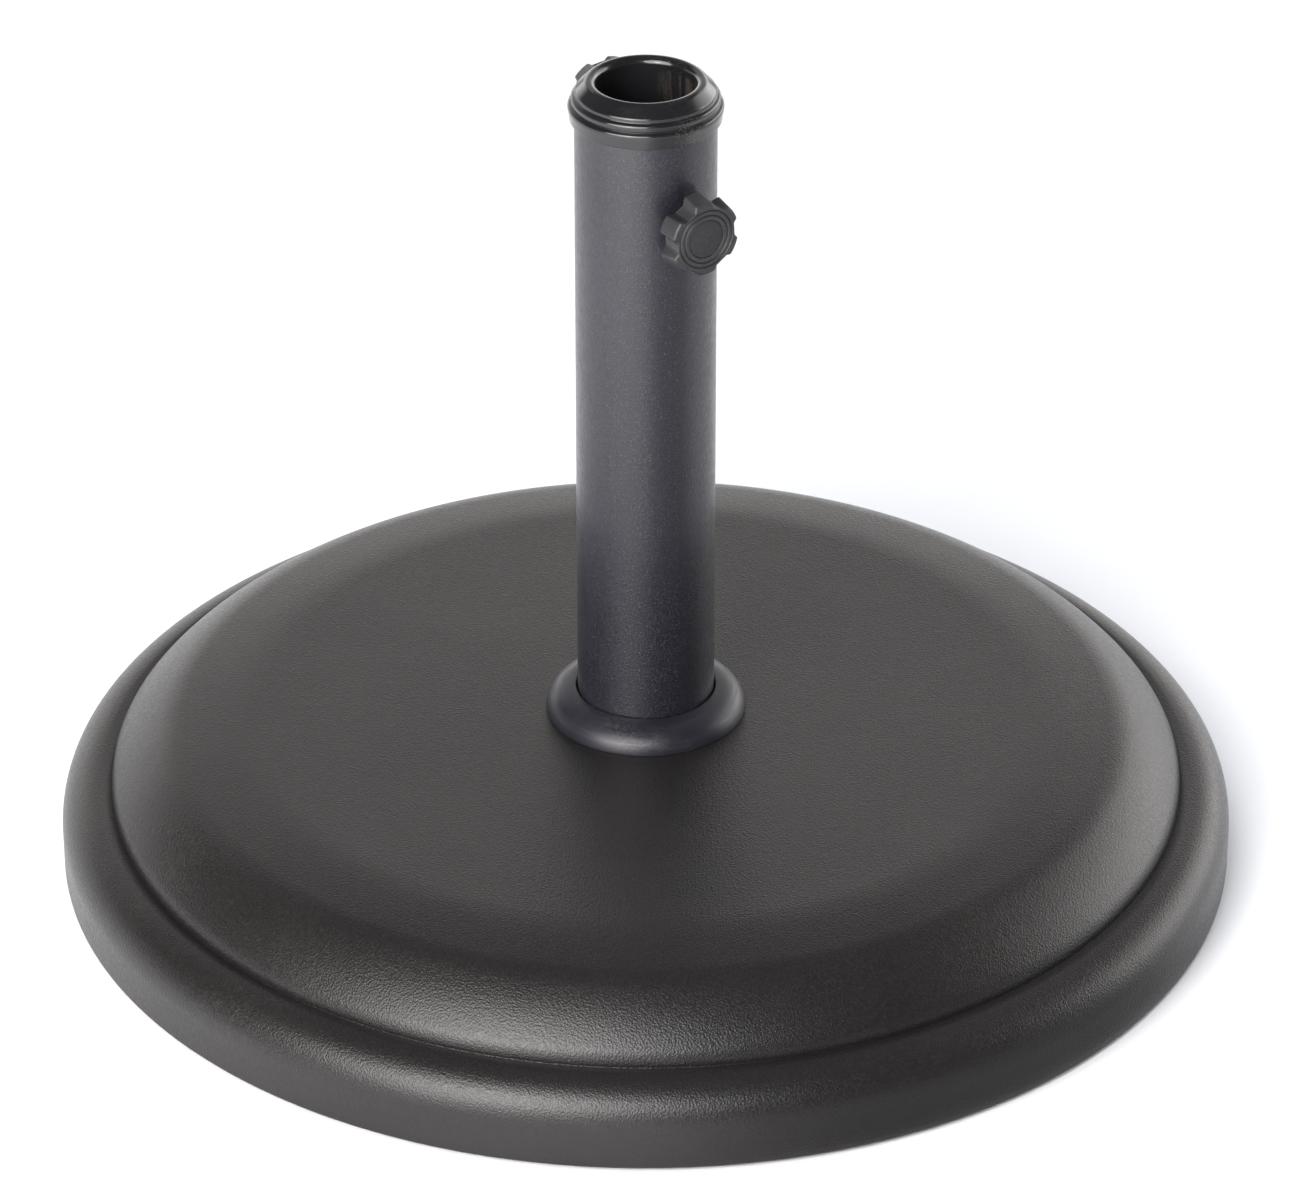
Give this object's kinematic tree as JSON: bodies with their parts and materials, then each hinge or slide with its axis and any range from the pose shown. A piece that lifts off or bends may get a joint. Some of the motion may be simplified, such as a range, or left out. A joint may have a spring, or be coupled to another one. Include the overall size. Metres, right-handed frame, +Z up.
{
  "type": "parasol base",
  "caption": "Round weighted foot with an upright clamping tube, loose collar ring, moulded cap and two screw knobs that hold a parasol pole.",
  "frame": {"origin": "on the floor, under the middle of the foot", "axes": "+Z up along the tube; -Y towards the lower clamp knob; the upper knob points to the rear, 13 degrees from +Y towards +X"},
  "size_m": [0.5, 0.5, 0.3575],
  "materials": {
    "shell_plastic": "matte",
    "concrete": "matte",
    "glide_rubber": "matte",
    "zinc_steel": "satin",
    "tube_coating": "satin",
    "guide_plastic": "satin",
    "cap_plastic": "satin",
    "collar_plastic": "satin",
    "knob_plastic": "satin",
    "disc_plastic": "satin",
    "nylon": "satin"
  },
  "bodies": {
    "base": {"base_shell": "shell_plastic", "concrete_core": "concrete", "core_ferrule": "zinc_steel", "tube_foot_plate": "tube_coating", "weld_nut": "zinc_steel", "fixing_washer": "zinc_steel", "fixing_bolt": "zinc_steel", "tube": "tube_coating", "pole_guide": "guide_plastic", "top_cap": "cap_plastic", "glide_1": "glide_rubber", "glide_2": "glide_rubber", "glide_3": "glide_rubber", "glide_4": "glide_rubber", "glide_5": "glide_rubber", "glide_6": "glide_rubber", "front_nut": "zinc_steel", "rear_nut": "zinc_steel"},
    "collar": {"collar_ring": "collar_plastic"},
    "front_tip": {"front_thrust_tip": "nylon"},
    "front_screw": {"front_knob": "knob_plastic", "front_knob_disc": "disc_plastic", "front_stud": "zinc_steel"},
    "rear_tip": {"rear_thrust_tip": "nylon"},
    "rear_screw": {"rear_knob": "knob_plastic", "rear_knob_disc": "disc_plastic", "rear_stud": "zinc_steel"}
  },
  "joints": [
    {"name": "collar_lift", "type": "slide", "parent": "base", "child": "collar", "axis": [0, 0, 1], "range_m": [0, 0.21]},
    {"name": "front_feed", "type": "slide", "parent": "base", "child": "front_tip", "axis": [0, 1, 0], "range_m": [-0.0041, 0.0026]},
    {"name": "front_turn", "type": "hinge", "parent": "front_tip", "child": "front_screw", "pos_m": [0, -0.03, 0.304], "axis": [0, 1, 0], "range_deg": [-1152, 720]},
    {"name": "rear_feed", "type": "slide", "parent": "base", "child": "rear_tip", "axis": [-0.225, -0.9744, 0], "range_m": [-0.0041, 0.0026]},
    {"name": "rear_turn", "type": "hinge", "parent": "rear_tip", "child": "rear_screw", "pos_m": [0.00675, 0.02923, 0.331], "axis": [-0.225, -0.9744, 0], "range_deg": [-1152, 720]}
  ],
  "couplings": [
    {"joint": "front_feed", "follows": "front_turn", "m_per_rad": 0.00019894},
    {"joint": "rear_feed", "follows": "rear_turn", "m_per_rad": 0.00019894}
  ]
}
